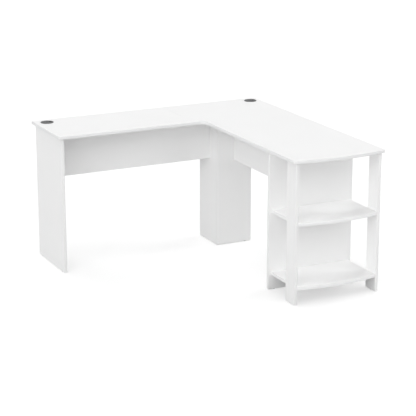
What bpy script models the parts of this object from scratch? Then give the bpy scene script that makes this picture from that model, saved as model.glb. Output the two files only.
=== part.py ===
"""White L-shaped corner desk: a two-board top on an end panel, a corner leg and an open shelf unit.

+X runs along the left wing towards the outer corner, +Y runs to the back, +Z is up.
The origin is on the floor, at the middle of the desk's bounding box. Sizes are in metres.
"""

import math

import bmesh
import bpy
from mathutils import Matrix, Vector

# Overall sizes
desk_width = 1.300
desk_depth = 1.352
desk_height = 0.715
board = 0.016
joint_gap = 0.0003

# Top
left_wing_depth = 0.396
right_wing_width = 0.500
front_bow = 0.027
inner_fillet = 0.036
front_corner_radius = 0.012
seam_offset = 0.060
side_overhang = 0.016
back_overhang = 0.018
end_panel_front_overhang = 0.018
post_front_overhang = 0.008

# Corner leg and modesty panels
leg_side_inset = 0.119
leg_front_inset = 0.092
leg_front_width = 0.203
leg_side_depth = 0.194
modesty_height = 0.236
left_modesty_setback = 0.090
right_modesty_setback = 0.098

# Shelf unit
shelf_depth = 0.257
post_depth = 0.085
shelf_bow = 0.026
lower_shelf_height = 0.076
upper_shelf_height = 0.392

# Cable grommets
grommet_to_panel = 0.003
grommet_back_inset = 0.069
grommet_hole_radius = 0.026
flange_overlap = 0.007
flange_height = 0.003
flange_rim = 0.0047
sleeve_wall = 0.0022
sleeve_below_top = 0.006
seat_thickness = 0.001
cap_thickness = 0.0015
cap_clearance = 0.0003
skirt_depth = 0.008
skirt_wall = 0.0022
slot_radius = 0.008
slot_centre = 0.018
hub_radius = 0.004
knob_radius = 0.007
knob_height = 0.0014
door_thickness = 0.0011
door_half_width = 0.0095

# Glides, fittings and brackets
glide_radius = 0.007
glide_height = 0.0025
glide_inset = 0.035
nail_radius = 0.0012
nail_length = 0.012
cam_radius = 0.0075
cam_depth = 0.0122
cam_setback = 0.024
cam_bore_radius = 0.004
bolt_thread_radius = 0.0025
bolt_thread_length = 0.011
bolt_shank_radius = 0.003
bolt_neck_radius = 0.002
bolt_head_radius = 0.0033
bolt_head_length = 0.003
modesty_cam_inset = 0.045
leg_cam_heights = (0.150, 0.550)
bracket_leg = 0.030
bracket_width = 0.020
steel_thickness = 0.002
plate_length = 0.080
plate_width = 0.030
plate_inset = 0.080

# Levels and plan positions worked out from the sizes above
top_underside = desk_height - board
support_top = top_underside - joint_gap
panel_foot = glide_height + joint_gap
left_end = -desk_width / 2
right_end = desk_width / 2
back_edge = desk_depth / 2
front_chord = -desk_depth / 2 + front_bow
wing_front = back_edge - left_wing_depth
inner_edge = right_end - right_wing_width
seam = inner_edge - seam_offset

leg_left = inner_edge + leg_side_inset
leg_front = wing_front + leg_front_inset
left_modesty_front = leg_front + left_modesty_setback
right_modesty_left = leg_left + right_modesty_setback
modesty_foot = support_top - modesty_height

end_panel_left = left_end + side_overhang
end_panel_right = end_panel_left + board
grommet_side_inset = side_overhang + board + grommet_to_panel + grommet_hole_radius
flange_radius = grommet_hole_radius + flange_overlap
unit_left = inner_edge + side_overhang
unit_right = right_end - side_overhang
unit_front = front_chord + post_front_overhang
unit_back = unit_front + shelf_depth

materials = {}


def finish(name, colour, roughness, metallic=0.0):
    """Makes one plain material, or returns the one already made."""
    if name not in materials:
        material = bpy.data.materials.new(name)
        material.use_nodes = True
        shader = material.node_tree.nodes["Principled BSDF"]
        shader.inputs["Base Color"].default_value = (*colour, 1.0)
        shader.inputs["Roughness"].default_value = roughness
        shader.inputs["Metallic"].default_value = metallic
        materials[name] = material
    return materials[name]


def white_laminate():
    return finish("white_laminate", (0.86, 0.86, 0.85), 0.42)


def black_plastic():
    return finish("black_plastic", (0.03, 0.03, 0.03), 0.38)


def zinc():
    return finish("zinc_casting", (0.62, 0.63, 0.64), 0.40, 1.0)


def steel():
    return finish("zinc_plated_steel", (0.70, 0.71, 0.72), 0.30, 1.0)


def grey_plastic():
    return finish("grey_plastic", (0.55, 0.55, 0.54), 0.50)


def add_object(name, bm, material=None, location=(0, 0, 0)):
    """Turns a bmesh into a named object with outward faces."""
    bmesh.ops.recalc_face_normals(bm, faces=bm.faces)
    mesh = bpy.data.meshes.new(name)
    bm.to_mesh(mesh)
    bm.free()
    obj = bpy.data.objects.new(name, mesh)
    obj.location = location
    if material is not None:
        mesh.materials.append(material)
    bpy.context.scene.collection.objects.link(obj)
    return obj


def as_helper(obj):
    """Marks an object as a cutter or a half of a union, not a piece of the desk."""
    obj.hide_render = True
    obj.display_type = "WIRE"
    return obj


def combine(obj, helper, operation="DIFFERENCE"):
    modifier = obj.modifiers.new(operation.lower(), "BOOLEAN")
    modifier.operation = operation
    modifier.solver = "EXACT"
    modifier.object = as_helper(helper)
    return obj


def slab(name, xs, ys, zs, material):
    """A flat board between two x, two y and two z positions."""
    bm = bmesh.new()
    size = Vector((xs[1] - xs[0], ys[1] - ys[0], zs[1] - zs[0]))
    centre = Vector((xs[0] + xs[1], ys[0] + ys[1], zs[0] + zs[1])) / 2
    bmesh.ops.create_cube(bm, size=1.0, matrix=Matrix.Translation(centre) @ Matrix.Diagonal((*size, 1.0)))
    return add_object(name, bm, material)


def prism(outline, bottom, top):
    """A bmesh with a flat outline pulled up from one level to another."""
    bm = bmesh.new()
    face = bm.faces.new([bm.verts.new((x, y, bottom)) for x, y in outline])
    pulled = bmesh.ops.extrude_face_region(bm, geom=[face])
    verts = [item for item in pulled["geom"] if isinstance(item, bmesh.types.BMVert)]
    bmesh.ops.translate(bm, verts=verts, vec=(0, 0, top - bottom))
    return bm


def arc(centre, radius, start, end, steps):
    """Points on an arc, from one angle to another in degrees, both ends included."""
    angles = [math.radians(start + (end - start) * i / steps) for i in range(steps + 1)]
    return [(centre[0] + radius * math.cos(a), centre[1] + radius * math.sin(a)) for a in angles]


def bowed_edge(left, right, chord, bow, steps=24):
    """Points on a shallow arc that bulges towards -Y, from the left end to the right end."""
    half = (right - left) / 2
    radius = (half**2 + bow**2) / (2 * bow)
    spread = math.degrees(math.asin(half / radius))
    centre = ((left + right) / 2, chord - bow + radius)
    return arc(centre, radius, -90 - spread, -90 + spread, steps)


def turned(profile, segments, closed_ring):
    """A bmesh of a profile of (radius, z) points spun about Z, either a ring or a capped solid."""
    bm = bmesh.new()
    rings = []
    for i in range(segments):
        a = 2 * math.pi * i / segments
        rings.append([bm.verts.new((r * math.cos(a), r * math.sin(a), z)) for r, z in profile])
    spans = len(profile) if closed_ring else len(profile) - 1
    for i in range(segments):
        here, after = rings[i], rings[(i + 1) % segments]
        for j in range(spans):
            k = (j + 1) % len(profile)
            bm.faces.new((here[j], after[j], after[k], here[k]))
    if not closed_ring:
        bm.faces.new([ring[0] for ring in rings])
        bm.faces.new([ring[-1] for ring in rings])
    return bm


def rod(bm, start, end, radius, segments=12):
    """Adds a closed cylinder between two points to a bmesh."""
    run = Vector(end) - Vector(start)
    turn = run.to_track_quat("Z", "Y").to_matrix().to_4x4()
    place = Matrix.Translation((Vector(start) + Vector(end)) / 2) @ turn
    bmesh.ops.create_cone(
        bm, cap_ends=True, segments=segments, radius1=radius, radius2=radius, depth=run.length, matrix=place
    )


class Holes:
    """Collects the round holes of one board and cuts them, wide pockets and narrow bores in turn."""

    def __init__(self):
        self.pockets = {}
        self.bores = {}

    def add(self, group, node, start, end, radius, segments):
        rod(group.setdefault(node, bmesh.new()), start, end, radius, segments)

    def cut(self):
        for label, group in (("pockets", self.pockets), ("bores", self.bores)):
            for node, bm in group.items():
                combine(bpy.data.objects[node], add_object(f"{label}_{node}", bm))


def build_top():
    """The two boards of the top, which meet at a seam beside the inner fillet."""
    slab(
        "top_left_wing",
        (left_end, seam - joint_gap),
        (wing_front, back_edge),
        (top_underside, desk_height),
        white_laminate(),
    )
    outline = [(right_end, back_edge), (seam, back_edge), (seam, wing_front)]
    fillet_centre = (inner_edge - inner_fillet, wing_front - inner_fillet)
    outline += arc(fillet_centre, inner_fillet, 90, 0, 8)
    outline += bowed_edge(inner_edge, right_end, front_chord, front_bow)
    bm = prism(outline, top_underside, desk_height)
    ends = [e for e in bm.edges if is_front_corner(e)]
    bmesh.ops.bevel(
        bm, geom=ends, offset=front_corner_radius, segments=4, profile=0.5, affect="EDGES", clamp_overlap=True
    )
    add_object("top_right_wing", bm, white_laminate())


def is_front_corner(edge):
    """True for the two upright edges where the right wing's sides meet its bowed front."""
    a, b = (v.co for v in edge.verts)
    upright = (a.xy - b.xy).length < joint_gap
    at_end = min(abs(a.x - inner_edge), abs(a.x - right_end)) < joint_gap
    return upright and at_end and abs(a.y - front_chord) < joint_gap


def build_panels():
    """The upright boards: the end panel, the corner leg and the two modesty panels."""
    white = white_laminate()
    upright = (panel_foot, support_top)
    hung = (modesty_foot, support_top)
    leg_back_of_front = leg_front + board
    slab(
        "left_end_panel",
        (end_panel_left, end_panel_right),
        (wing_front + end_panel_front_overhang, back_edge - back_overhang),
        upright,
        white,
    )
    slab("leg_front_panel", (leg_left, leg_left + leg_front_width), (leg_front, leg_back_of_front), upright, white)
    slab(
        "leg_side_panel",
        (leg_left, leg_left + board),
        (leg_back_of_front + joint_gap, leg_back_of_front + leg_side_depth),
        upright,
        white,
    )
    slab(
        "left_modesty_panel",
        (end_panel_right + joint_gap, leg_left - joint_gap),
        (left_modesty_front, left_modesty_front + board),
        hung,
        white,
    )
    slab(
        "right_modesty_panel",
        (right_modesty_left, right_modesty_left + board),
        (unit_back + board + joint_gap, leg_front - joint_gap),
        hung,
        white,
    )


def build_shelf_unit():
    """The back panel, the two narrow front posts and the two bowed shelves between them."""
    white = white_laminate()
    upright = (panel_foot, support_top)
    slab("shelf_back_panel", (unit_left, unit_right), (unit_back, unit_back + board), upright, white)
    for name, left in (("front_left_post", unit_left), ("front_right_post", unit_right - board)):
        slab(name, (left, left + board), (unit_front, unit_front + post_depth), upright, white)
    left, right = unit_left + board + joint_gap, unit_right - board - joint_gap
    for name, height in (("lower_shelf", lower_shelf_height), ("upper_shelf", upper_shelf_height)):
        outline = [(right, unit_back - joint_gap), (left, unit_back - joint_gap)]
        outline += bowed_edge(left, right, unit_front, shelf_bow)
        add_object(name, prism(outline, height, height + board), white)


def build_grommet(side, x, y, top_node, holes):
    """A cable grommet: a fixed sleeve, a lift-out cap with a cable slot, and a door that turns under it."""
    place = (x, y, desk_height)
    seat_radius = flange_radius - flange_rim
    tube_outer = grommet_hole_radius - joint_gap
    tube_inner = tube_outer - sleeve_wall
    seat_top = joint_gap + seat_thickness
    cap_bottom = seat_top + cap_clearance
    cap_top = cap_bottom + cap_thickness
    sleeve_foot = -board - sleeve_below_top
    cap_radius = seat_radius - cap_clearance
    skirt_outer = tube_inner - cap_clearance
    skirt_inner = skirt_outer - skirt_wall
    edge = 0.0008

    holes.add(
        holes.bores,
        top_node,
        (x, y, top_underside - board),
        (x, y, desk_height + board),
        grommet_hole_radius,
        32,
    )
    sleeve = [
        (tube_outer, sleeve_foot),
        (tube_outer, joint_gap),
        (flange_radius, joint_gap),
        (flange_radius, flange_height - edge),
        (flange_radius - edge, flange_height),
        (seat_radius, flange_height),
        (seat_radius, seat_top),
        (tube_inner, seat_top),
        (tube_inner, sleeve_foot),
    ]
    add_object(f"{side}_grommet_sleeve", turned(sleeve, 32, True), black_plastic(), place)

    axis = bpy.data.objects.new(f"{side}_grommet_axis", None)
    axis.location = place
    bpy.context.scene.collection.objects.link(axis)

    cap_profile = [
        (hub_radius + cap_clearance, cap_bottom),
        (skirt_inner, cap_bottom),
        (skirt_inner, -skirt_depth),
        (skirt_outer, -skirt_depth),
        (skirt_outer, cap_bottom),
        (cap_radius, cap_bottom),
        (cap_radius, cap_top - edge / 2),
        (cap_radius - edge / 2, cap_top),
        (hub_radius + cap_clearance, cap_top),
    ]
    cap = add_object(f"{side}_grommet_cap", turned(cap_profile, 32, True), black_plastic())
    slot = arc((slot_centre, 0), slot_radius, 90, 270, 10)
    slot += [(flange_radius, -slot_radius), (flange_radius, slot_radius)]
    slot_cutter = add_object(f"{side}_slot_cutter", prism(slot, -2 * skirt_depth, 2 * flange_height))
    combine(cap, slot_cutter)

    door_top = cap_bottom - cap_clearance
    door_reach = skirt_inner - cap_clearance
    spread = math.degrees(math.asin(door_half_width / door_reach))
    tongue = arc((0, 0), door_reach, 90 - spread, 90 + spread, 8)
    tongue += arc((0, 0), door_half_width, 180, 360, 12)
    door = add_object(f"{side}_grommet_door", prism(tongue, door_top - door_thickness, door_top), black_plastic())
    knob_bottom = cap_top + cap_clearance
    hub_profile = [
        (hub_radius, door_top - door_thickness / 2),
        (hub_radius, knob_bottom),
        (knob_radius, knob_bottom),
        (knob_radius, knob_bottom + knob_height),
    ]
    hub = add_object(f"{side}_door_hub", turned(hub_profile, 24, False))
    combine(door, hub, "UNION")
    for piece in (cap, slot_cutter, door, hub):
        piece.parent = axis


def build_glides(holes):
    """Nail-on glides under each board that stands on the floor."""
    end_panel_y = (wing_front + end_panel_front_overhang, back_edge - back_overhang)
    places = {
        "left_end_panel": [(end_panel_left + board / 2, y) for y in inset_pair(*end_panel_y)],
        "leg_front_panel": [(leg_left + leg_front_width - glide_inset, leg_front + board / 2)],
        "leg_side_panel": [(leg_left + board / 2, leg_front + board + leg_side_depth - glide_inset)],
        "shelf_back_panel": [(x, unit_back + board / 2) for x in inset_pair(unit_left, unit_right)],
        "front_left_post": [(unit_left + board / 2, unit_front + post_depth / 2)],
        "front_right_post": [(unit_right - board / 2, unit_front + post_depth / 2)],
    }
    edge = glide_height / 4
    profile = [
        (glide_radius - edge, 0),
        (glide_radius, edge),
        (glide_radius, glide_height - edge),
        (glide_radius - edge, glide_height),
        (nail_radius, glide_height),
        (nail_radius, glide_height + nail_length),
    ]
    for node, spots in places.items():
        for number, (x, y) in enumerate(spots, 1):
            suffix = f"_{number}" if len(spots) > 1 else ""
            add_object(f"glide_{node}{suffix}", turned(profile, 16, False), grey_plastic(), (x, y, 0))
            hole_top = glide_height + nail_length + joint_gap
            holes.add(holes.bores, node, (x, y, -board), (x, y, hole_top), nail_radius + joint_gap, 16)


def inset_pair(low, high):
    """Two positions, one glide inset in from each end."""
    return low + glide_inset, high - glide_inset


def build_fitting(label, bored, pocketed, face, into, pocket_normal, holes):
    """A cam lock in the pocketed board's face and the bolt that joins it to the bored board.

    face is the point where the bolt crosses the bored board's surface, and into points from there
    into the pocketed board. The cam turns about pocket_normal, half a board above the bolt.
    """
    face, into, up = Vector(face), Vector(into), Vector(pocket_normal)
    cam_middle = face + into * cam_setback
    pocket_mouth = cam_middle + up * board / 2
    holes.add(
        holes.pockets,
        pocketed,
        pocket_mouth + up * board,
        pocket_mouth - up * (cam_depth + joint_gap),
        cam_radius + joint_gap,
        24,
    )
    holes.add(holes.bores, pocketed, face - into * joint_gap * 4, cam_middle, cam_bore_radius, 12)
    bored_depth = bolt_thread_length + joint_gap
    holes.add(
        holes.bores,
        bored,
        face + into * joint_gap,
        face - into * bored_depth,
        bolt_thread_radius + joint_gap,
        12,
    )

    bm = bmesh.new()
    rod(bm, pocket_mouth, pocket_mouth - up * cam_depth, cam_radius, 24)
    cam = add_object(f"cam_lock_{label}", bm, zinc())
    bm = bmesh.new()
    rod(bm, face, cam_middle + into * cam_bore_radius, cam_bore_radius, 12)
    combine(cam, add_object(f"cam_bore_{label}", bm))

    head_end = cam_setback + bolt_head_length / 2 + joint_gap * 3
    head_start = head_end - bolt_head_length
    profile = [
        (bolt_thread_radius, -bolt_thread_length),
        (bolt_thread_radius, 0),
        (bolt_shank_radius, 0),
        (bolt_shank_radius, head_start - bolt_head_length),
        (bolt_neck_radius, head_start - bolt_head_length),
        (bolt_neck_radius, head_start),
        (bolt_head_radius, head_start),
        (bolt_head_radius, head_end),
    ]
    bolt = add_object(f"cam_bolt_{label}", turned(profile, 12, False), steel(), face)
    bolt.rotation_mode = "QUATERNION"
    bolt.rotation_quaternion = into.to_track_quat("Z", "Y")


def build_fittings(holes):
    """The cam fittings that pull the boards together."""
    levels = (("lower", modesty_foot + modesty_cam_inset), ("upper", support_top - modesty_cam_inset))
    left_middle = left_modesty_front + board / 2
    right_middle = right_modesty_left + board / 2
    panel, modesty, unit = "left_modesty_panel", "right_modesty_panel", "shelf_back_panel"
    for level, z in levels:
        left_face = (end_panel_right, left_middle, z)
        right_face = (leg_left, left_middle, z)
        build_fitting(f"end_panel_{level}", "left_end_panel", panel, left_face, (1, 0, 0), (0, 1, 0), holes)
        build_fitting(f"leg_side_{level}", "leg_side_panel", panel, right_face, (-1, 0, 0), (0, 1, 0), holes)
        back_face = (right_middle, leg_front, z)
        front_face = (right_middle, unit_back + board, z)
        build_fitting(f"leg_front_{level}", "leg_front_panel", modesty, back_face, (0, -1, 0), (1, 0, 0), holes)
        build_fitting(f"shelf_back_{level}", unit, modesty, front_face, (0, 1, 0), (1, 0, 0), holes)
    for level, z in zip(("lower", "upper"), leg_cam_heights):
        face = (leg_left + board / 2, leg_front + board, z)
        build_fitting(f"leg_corner_{level}", "leg_front_panel", "leg_side_panel", face, (0, 1, 0), (1, 0, 0), holes)
    post_middle = unit_front + post_depth / 2
    for level, height in (("lower", lower_shelf_height), ("upper", upper_shelf_height)):
        z = height + board / 2
        for side, x, into in (("left", unit_left + board, 1), ("right", unit_right - board, -1)):
            post, face = f"front_{side}_post", (x, post_middle, z)
            build_fitting(f"{level}_shelf_{side}", post, f"{level}_shelf", face, (into, 0, 0), (0, 0, -1), holes)


def build_bracket(name, corner, along, away):
    """A steel angle bracket in the corner under the top, with one leg up the board and one under the top.

    corner is on the board's face, at the underside of the top. along runs along the joint and away
    points from the board's face, both flat.
    """
    corner, along, away = Vector(corner), Vector(along), Vector(away)
    outline = [
        (0, 0),
        (bracket_leg, 0),
        (bracket_leg, -steel_thickness),
        (steel_thickness, -steel_thickness),
        (steel_thickness, -bracket_leg),
        (0, -bracket_leg),
    ]
    bm = prism(outline, -bracket_width / 2, bracket_width / 2)
    basis = Matrix((away, Vector((0, 0, 1)), along)).transposed().to_4x4()
    bm.transform(Matrix.Translation(corner + (away - Vector((0, 0, 1))) * joint_gap) @ basis)
    add_object(name, bm, steel())


def build_steelwork():
    """Angle brackets between the upright panels and the top, and two plates across the seam."""
    modesty_back = left_modesty_front + board
    modesty_right = right_modesty_left + board
    span = leg_left - end_panel_right
    middle_y = (unit_back + board + leg_front) / 2
    middle_x = (unit_left + unit_right) / 2
    x_way, y_way = (1, 0, 0), (0, 1, 0)
    first, second = end_panel_right + span / 4, end_panel_right + span * 3 / 5
    build_bracket("bracket_left_modesty_1", (first, modesty_back, top_underside), x_way, y_way)
    build_bracket("bracket_left_modesty_2", (second, modesty_back, top_underside), x_way, y_way)
    build_bracket("bracket_right_modesty", (modesty_right, middle_y, top_underside), y_way, x_way)
    build_bracket("bracket_shelf_back", (middle_x, unit_back, top_underside), x_way, (0, -1, 0))
    for name, y in (("back", back_edge - plate_inset), ("front", wing_front + plate_inset)):
        xs = (seam - plate_length / 2, seam + plate_length / 2)
        ys = (y - plate_width / 2, y + plate_width / 2)
        slab(f"seam_plate_{name}", xs, ys, (support_top - steel_thickness, support_top), steel())


def build_desk():
    for old in list(bpy.data.objects):
        bpy.data.objects.remove(old)
    holes = Holes()
    build_top()
    build_panels()
    build_shelf_unit()
    grommet_y = back_edge - grommet_back_inset
    build_grommet("left", left_end + grommet_side_inset, grommet_y, "top_left_wing", holes)
    build_grommet("corner", right_end - grommet_side_inset, grommet_y, "top_right_wing", holes)
    build_glides(holes)
    build_fittings(holes)
    build_steelwork()
    holes.cut()


build_desk()
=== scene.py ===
from math import atan2, cos, degrees, pi, radians, sin, sqrt, tan

import bmesh
import bpy
from mathutils import Matrix, Vector


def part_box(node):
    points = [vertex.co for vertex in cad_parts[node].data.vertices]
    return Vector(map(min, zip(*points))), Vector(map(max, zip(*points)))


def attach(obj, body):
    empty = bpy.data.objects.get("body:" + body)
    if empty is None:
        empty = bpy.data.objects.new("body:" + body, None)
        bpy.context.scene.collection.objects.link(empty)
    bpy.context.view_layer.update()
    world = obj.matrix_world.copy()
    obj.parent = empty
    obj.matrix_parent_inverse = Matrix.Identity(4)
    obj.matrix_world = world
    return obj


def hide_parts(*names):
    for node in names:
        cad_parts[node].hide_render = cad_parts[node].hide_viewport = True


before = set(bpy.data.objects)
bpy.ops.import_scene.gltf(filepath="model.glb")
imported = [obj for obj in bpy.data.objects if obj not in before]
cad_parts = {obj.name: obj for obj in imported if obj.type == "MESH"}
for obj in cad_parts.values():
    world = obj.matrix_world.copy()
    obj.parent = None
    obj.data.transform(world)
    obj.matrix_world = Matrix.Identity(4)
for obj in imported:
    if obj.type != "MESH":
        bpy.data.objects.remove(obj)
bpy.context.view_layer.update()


# small helpers for node trees

class Wire:
    # an output socket that can be used in plain sums

    def __init__(self, graph, socket):
        self.graph, self.socket = graph, socket

    def maths(self, operation, *others):
        # a Math node with this wire as its first value
        return self.graph.node("ShaderNodeMath", {"operation": operation}, dict(enumerate((self, *others))))

    def mathsAfter(self, operation, first):
        # the same with this wire as its second value
        return self.graph.node("ShaderNodeMath", {"operation": operation}, {0: first, 1: self})

    def __add__(self, other): return self.maths("ADD", other)
    def __radd__(self, other): return self.mathsAfter("ADD", other)
    def __sub__(self, other): return self.maths("SUBTRACT", other)
    def __rsub__(self, other): return self.mathsAfter("SUBTRACT", other)
    def __mul__(self, other): return self.maths("MULTIPLY", other)
    def __rmul__(self, other): return self.mathsAfter("MULTIPLY", other)
    def __truediv__(self, other): return self.maths("DIVIDE", other)
    def __pow__(self, other): return self.maths("POWER", other)
    def __gt__(self, other): return self.maths("GREATER_THAN", other)
    def __lt__(self, other): return self.maths("LESS_THAN", other)


class Graph:
    # one node tree; node() adds a node with its settings, then its socket values or links

    def __init__(self, tree):
        self.tree = tree

    def node(self, kind, settings=None, values=None, out=0):
        made = self.tree.nodes.new(kind)
        for key, value in (settings or {}).items():
            if key == "stops":
                ramp = made.color_ramp.elements
                while len(ramp) < len(value):
                    ramp.new(0.5)
                for stop, (position, level) in zip(ramp, value):
                    stop.position, stop.color = position, (level, level, level, 1)
            else:
                setattr(made, key, value)
        for key, value in (values or {}).items():
            for one in value if isinstance(value, list) else [value]:
                if isinstance(one, Wire):
                    self.tree.links.new(one.socket, made.inputs[key])
                else:
                    made.inputs[key].default_value = one
        return Wire(self, made.outputs[out]) if made.outputs else made

    def mixColour(self, factor, first, second):
        # sockets 6 and 7 are the colours of a Mix node, output 2 its colour
        return self.node("ShaderNodeMix", {"data_type": "RGBA"}, {0: factor, 6: first, 7: second}, out=2)


def colour(red, green, blue):
    return (red, green, blue, 1)


# materials, all on object coordinates in metres

def newMaterial(name):
    material = bpy.data.materials.new(name)
    material.use_nodes = True
    material.node_tree.nodes.clear()
    return material, Graph(material.node_tree)


def surface(graph, fixed, wired):
    # fixed values sit on the shader's own sockets
    shader = graph.node("ShaderNodeBsdfPrincipled", {}, {**fixed, **wired})
    graph.node("ShaderNodeOutputMaterial", {}, {"Surface": shader})


def noise(graph, at, scale, detail, roughness, distortion=0.0):
    values = {"Vector": at, "Scale": scale, "Detail": detail, "Roughness": roughness,
              "Distortion": distortion}
    return graph.node("ShaderNodeTexNoise", {}, values)


def objectCoords(graph, scale=(1, 1, 1)):
    coords = graph.node("ShaderNodeTexCoord", {}, {}, out="Object")
    if scale == (1, 1, 1):
        return coords
    return graph.node("ShaderNodeMapping", {"vector_type": "POINT"}, {"Vector": coords, "Scale": scale})


def attribute(graph, name):
    return graph.node("ShaderNodeAttribute", {"attribute_name": name}, {}, out="Fac")


def bumps(graph, height, strength, distance):
    return graph.node("ShaderNodeBump", {}, {"Strength": strength, "Distance": distance, "Height": height})


laminate = {
    "light": colour(0.945, 0.945, 0.943),
    "shade": colour(0.920, 0.921, 0.921),
    # the edge band colour is darker than the faces; this is a real band strip, and the extra darkness is
    # painted shade on the boards' edges
    "edgeBand": colour(0.860, 0.861, 0.862),
    "glue": colour(0.40, 0.38, 0.35),
    "roughness": 0.50,
    "gloss": 0.22,
    "pearlSize": 0.0011,
    "broadScale": 2.6,  # slow drift of tone along a board
    "smudgeScale": 11.0,  # handling marks
    "bumpStrength": 0.35,
    "bumpDepth": 0.00005,
}


def whiteLaminate():
    material, graph = newMaterial("whiteLaminate")
    at = objectCoords(graph)
    band, glue = attribute(graph, "edgeBand"), attribute(graph, "glueLine")
    broad = noise(graph, at, laminate["broadScale"], 3.0, 0.55)
    smudge = noise(graph, at, laminate["smudgeScale"], 5.0, 0.6, 0.8)
    pearl = noise(graph, at, 1 / laminate["pearlSize"], 2.0, 0.6)
    fleckScale = 0.6 / laminate["pearlSize"]
    fleck = graph.node("ShaderNodeTexVoronoi", {"feature": "SMOOTH_F1"}, {"Vector": at, "Scale": fleckScale})
    tone = 0.5 + 0.9 * (broad - 0.5) + 0.5 * (pearl - 0.5) + 0.3 * (smudge - 0.5)
    paint = graph.mixColour(tone, laminate["shade"], laminate["light"])
    # the edge band is a real strip, and its darker colour here is in part painted shade
    paint = graph.mixColour(0.8 * band, paint, laminate["edgeBand"])
    paint = graph.mixColour(0.75 * glue, paint, laminate["glue"])
    rough = laminate["roughness"] + 0.14 * (smudge - 0.5) + 0.06 * (pearl - 0.5) - 0.05 * band
    height = (0.6 * pearl + 0.4 * fleck) * (1 - 0.7 * band)
    bump = bumps(graph, height, laminate["bumpStrength"], laminate["bumpDepth"])
    wired = {"Base Color": paint, "Roughness": rough, "Normal": bump}
    surface(graph, {"Specular IOR Level": laminate["gloss"]}, wired)
    return material


mouldedPlastic = {
    # painted shade: the near black put on what lies inside a grommet's rim and bore
    "bore": colour(0.010, 0.010, 0.011),
    "grainScale": 2600,  # spark-eroded mould grain, about 0.4 mm
    "flowScale": 90,
    "dustScale": 420,
    "bumpStrength": 0.30,
    "bumpDepth": 0.00004,
    "index": 1.52,  # index of refraction
    "blackPlastic": {"dark": colour(0.150, 0.151, 0.153), "pale": colour(0.205, 0.206, 0.208),
                     "roughness": 0.42},
    "greyPlastic": {"dark": colour(0.30, 0.30, 0.31), "pale": colour(0.40, 0.40, 0.41), "roughness": 0.46},
}


def plastic(name):
    facts = mouldedPlastic[name]
    material, graph = newMaterial(name)
    at = objectCoords(graph)
    grain = noise(graph, at, mouldedPlastic["grainScale"], 2.0, 0.65)
    flow = noise(graph, at, mouldedPlastic["flowScale"], 3.0, 0.5, 1.5)
    dust = noise(graph, at, mouldedPlastic["dustScale"], 4.0, 0.7)
    specks = graph.node("ShaderNodeValToRGB", {"stops": [(0.60, 0.0), (0.78, 1.0)]}, {"Fac": dust})
    paint = graph.mixColour(0.35 * flow + 0.45 * specks, facts["dark"], facts["pale"])
    # painted shade: a grommet is made near black inside its rim and bore, standing in for the shade that
    # falls there
    paint = graph.mixColour(0.92 * attribute(graph, "recess"), paint, mouldedPlastic["bore"])
    rough = facts["roughness"] + 0.12 * (flow - 0.5) + 0.10 * specks
    bump = bumps(graph, grain, mouldedPlastic["bumpStrength"], mouldedPlastic["bumpDepth"])
    wired = {"Base Color": paint, "Roughness": rough, "Normal": bump}
    surface(graph, {"IOR": mouldedPlastic["index"]}, wired)
    return material


metalFinish = {
    "castScale": 700,
    "patchScale": 60,
    "streakScale": 2200,
    "bumpStrength": 0.35,
    "bumpDepth": 0.00005,
    "zincCasting": {"dark": colour(0.36, 0.36, 0.37), "pale": colour(0.60, 0.60, 0.61), "roughness": 0.46,
                    "stretch": (1, 1, 1)},
    "platedSteel": {"dark": colour(0.52, 0.52, 0.50), "pale": colour(0.74, 0.74, 0.72), "roughness": 0.30,
                    "stretch": (1, 1, 9)},
}


def metal(name):
    facts = metalFinish[name]
    material, graph = newMaterial(name)
    at = objectCoords(graph, scale=facts["stretch"])
    cast = noise(graph, at, metalFinish["castScale"], 4.0, 0.65)
    patch = noise(graph, at, metalFinish["patchScale"], 3.0, 0.5, 0.6)
    streak = noise(graph, at, metalFinish["streakScale"], 2.0, 0.5)
    paint = graph.mixColour(0.6 * patch + 0.4 * cast, facts["dark"], facts["pale"])
    rough = facts["roughness"] + 0.22 * (patch - 0.5) + 0.10 * (streak - 0.5)
    bump = bumps(graph, cast + 0.5 * streak, metalFinish["bumpStrength"], metalFinish["bumpDepth"])
    surface(graph, {"Metallic": 1.0}, {"Base Color": paint, "Roughness": rough, "Normal": bump})
    return material


finishes = {
    "whiteLaminate": (whiteLaminate(), "white_laminate"),
    "blackPlastic": (plastic("blackPlastic"), "black_plastic"),
    "greyPlastic": (plastic("greyPlastic"), "grey_plastic"),
    "zincCasting": (metal("zincCasting"), "zinc_casting"),
    "platedSteel": (metal("platedSteel"), "plated_steel"),
}
print("materials made:", ", ".join(finishes))


# mesh helpers

def newObject(name, bm):
    # also merges doubles and turns the faces outwards
    bmesh.ops.remove_doubles(bm, verts=bm.verts, dist=1e-6)
    bmesh.ops.recalc_face_normals(bm, faces=bm.faces)
    mesh = bpy.data.meshes.new(name)
    bm.to_mesh(mesh)
    bm.free()
    made = bpy.data.objects.new(name, mesh)
    bpy.context.scene.collection.objects.link(made)
    return made


def settle(piece, sharpAngle=30):
    # what the modifiers make becomes the piece's own plain mesh
    depsgraph = bpy.context.evaluated_depsgraph_get()
    mesh = bpy.data.meshes.new_from_object(piece.evaluated_get(depsgraph))
    piece.modifiers.clear()
    old, piece.data = piece.data, mesh
    mesh.name = piece.name
    bpy.data.meshes.remove(old)
    shade(mesh, sharpAngle)
    return piece


def shade(mesh, sharpAngle=30):
    mesh.shade_smooth()
    mesh.set_sharp_from_angle(angle=radians(sharpAngle))


def finish(piece, finishName, body, nodes):
    material, slotName = finishes[finishName]
    if not piece.data.materials:
        piece.data.materials.append(material)
    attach(piece, body)
    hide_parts(*nodes)
    return piece


def combine(piece, tools, operation):
    # cuts the tools out of the piece, or joins them to it, and removes them
    for tool in tools:
        step = piece.modifiers.new(tool.name, "BOOLEAN")
        step.operation, step.solver, step.object = operation, "EXACT", tool
    bpy.context.view_layer.update()
    settle(piece)
    for tool in tools:
        mesh = tool.data
        bpy.data.objects.remove(tool)
        bpy.data.meshes.remove(mesh)


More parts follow.
